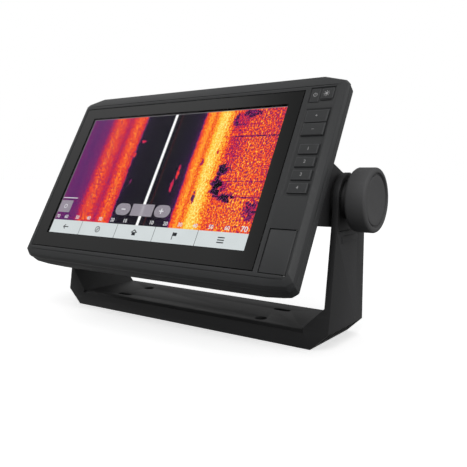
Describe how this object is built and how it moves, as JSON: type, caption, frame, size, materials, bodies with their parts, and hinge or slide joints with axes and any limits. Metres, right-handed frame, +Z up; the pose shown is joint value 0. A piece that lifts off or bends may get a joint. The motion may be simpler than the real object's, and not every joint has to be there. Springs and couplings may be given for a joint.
{
  "type": "fish finder",
  "caption": "Sonar chartplotter with a wide screen and a key column, held leaning back in a cradle between the knobs of a U-shaped bail bracket.",
  "frame": {"origin": "middle of the bracket's underside, on the surface that it stands on", "axes": "+X to the right of someone facing the screen, along the knobs' axis; -Y towards that person; +Z up"},
  "size_m": [0.3006, 0.1087, 0.1849],
  "materials": {
    "glass_filled_nylon": "fine moulded grain, near-black glass-filled nylon",
    "housing_plastic": "fine spark-eroded grain, charcoal polycarbonate blend",
    "key_rubber": "smooth silicone rubber with printed legends",
    "seal_rubber": "plain black rubber",
    "cover_glass": "optically bonded, anti-glare cover glass with a black printed border",
    "display": "colour liquid crystal display, lit",
    "stainless_steel": "passivated stainless steel",
    "brass": "turned brass",
    "aluminium": "pressed and die-cast aluminium",
    "board": "green solder mask on glass-epoxy laminate",
    "antenna_ceramic": "fired patch antenna ceramic",
    "card_plastic": "black card plastic"
  },
  "bodies": {
    "bracket": {"bail_bracket": "glass_filled_nylon", "friction_pad_left": "seal_rubber", "friction_pad_right": "seal_rubber"},
    "unit": {"cradle_shell": "glass_filled_nylon", "front_bezel": "housing_plastic", "rear_cover": "housing_plastic", "cradle_contact_block": "housing_plastic", "unit_contact_block": "housing_plastic", "socket_power": "housing_plastic", "socket_sonar": "housing_plastic", "buzzer": "housing_plastic", "keypad_mat": "key_rubber", "case_gasket": "seal_rubber", "card_door_seal": "seal_rubber", "cradle_pad_left": "seal_rubber", "cradle_pad_right": "seal_rubber", "vent_plug": "seal_rubber", "cover_glass": "cover_glass", "display_panel": "display", "latch_pin": "stainless_steel", "latch_spring": "stainless_steel", "card_door_pin": "stainless_steel", "card_reader": "stainless_steel", "case_screw_1": "stainless_steel", "case_screw_2": "stainless_steel", "case_screw_3": "stainless_steel", "case_screw_4": "stainless_steel", "case_screw_5": "stainless_steel", "case_screw_6": "stainless_steel", "cradle_insert_left": "brass", "cradle_insert_right": "brass", "standoff_1": "brass", "standoff_2": "brass", "standoff_3": "brass", "standoff_4": "brass", "display_chassis": "aluminium", "heat_spreader": "aluminium", "main_board": "board", "key_board": "board", "gps_antenna": "antenna_ceramic", "memory_card": "card_plastic"},
    "left_knob": {"knob_left": "glass_filled_nylon", "knob_stud_left": "stainless_steel", "knob_washer_left": "stainless_steel"},
    "right_knob": {"knob_right": "glass_filled_nylon", "knob_stud_right": "stainless_steel", "knob_washer_right": "stainless_steel"},
    "latch": {"latch_lever": "glass_filled_nylon"},
    "door": {"card_door": "housing_plastic"},
    "key_power_cap": {"key_power": "key_rubber"},
    "key_light_cap": {"key_light": "key_rubber"},
    "key_zoom_in_cap": {"key_zoom_in": "key_rubber"},
    "key_zoom_out_cap": {"key_zoom_out": "key_rubber"},
    "key_1_cap": {"key_1": "key_rubber"},
    "key_2_cap": {"key_2": "key_rubber"},
    "key_3_cap": {"key_3": "key_rubber"},
    "key_4_cap": {"key_4": "key_rubber"}
  },
  "joints": [
    {"name": "unit_tilt", "type": "hinge", "parent": "bracket", "child": "unit", "pos_m": [0, 0, 0.1006], "axis": [1, 0, 0], "range_deg": [-20, 24]},
    {"name": "left_knob_turn", "type": "hinge", "parent": "unit", "child": "left_knob", "pos_m": [-0.1426, 0, 0.1006], "axis": [-1, 0, 0], "continuous": true},
    {"name": "right_knob_turn", "type": "hinge", "parent": "unit", "child": "right_knob", "pos_m": [0.1426, 0, 0.1006], "axis": [1, 0, 0], "continuous": true},
    {"name": "latch_press", "type": "hinge", "parent": "unit", "child": "latch", "pos_m": [0, 0.02489, 0.11007], "axis": [-1, 0, 0], "range_deg": [0, 8], "stiffness_Nm_per_rad": 0.04, "springref_deg": -22.92},
    {"name": "card_door_swing", "type": "hinge", "parent": "unit", "child": "door", "pos_m": [0.1224, -0.06627, 0.07059], "axis": [0, 0.4924, 0.8704], "range_deg": [0, 90]},
    {"name": "key_power_press", "type": "slide", "parent": "unit", "child": "key_power_cap", "axis": [0, 0.8704, -0.4924], "range_m": [0, 0.0007], "stiffness_N_per_m": 1500, "springref_m": -0.0004},
    {"name": "key_light_press", "type": "slide", "parent": "unit", "child": "key_light_cap", "axis": [0, 0.8704, -0.4924], "range_m": [0, 0.0007], "stiffness_N_per_m": 1500, "springref_m": -0.0004},
    {"name": "key_zoom_in_press", "type": "slide", "parent": "unit", "child": "key_zoom_in_cap", "axis": [0, 0.8704, -0.4924], "range_m": [0, 0.0007], "stiffness_N_per_m": 1500, "springref_m": -0.0004},
    {"name": "key_zoom_out_press", "type": "slide", "parent": "unit", "child": "key_zoom_out_cap", "axis": [0, 0.8704, -0.4924], "range_m": [0, 0.0007], "stiffness_N_per_m": 1500, "springref_m": -0.0004},
    {"name": "key_1_press", "type": "slide", "parent": "unit", "child": "key_1_cap", "axis": [0, 0.8704, -0.4924], "range_m": [0, 0.0007], "stiffness_N_per_m": 1500, "springref_m": -0.0004},
    {"name": "key_2_press", "type": "slide", "parent": "unit", "child": "key_2_cap", "axis": [0, 0.8704, -0.4924], "range_m": [0, 0.0007], "stiffness_N_per_m": 1500, "springref_m": -0.0004},
    {"name": "key_3_press", "type": "slide", "parent": "unit", "child": "key_3_cap", "axis": [0, 0.8704, -0.4924], "range_m": [0, 0.0007], "stiffness_N_per_m": 1500, "springref_m": -0.0004},
    {"name": "key_4_press", "type": "slide", "parent": "unit", "child": "key_4_cap", "axis": [0, 0.8704, -0.4924], "range_m": [0, 0.0007], "stiffness_N_per_m": 1500, "springref_m": -0.0004}
  ]
}
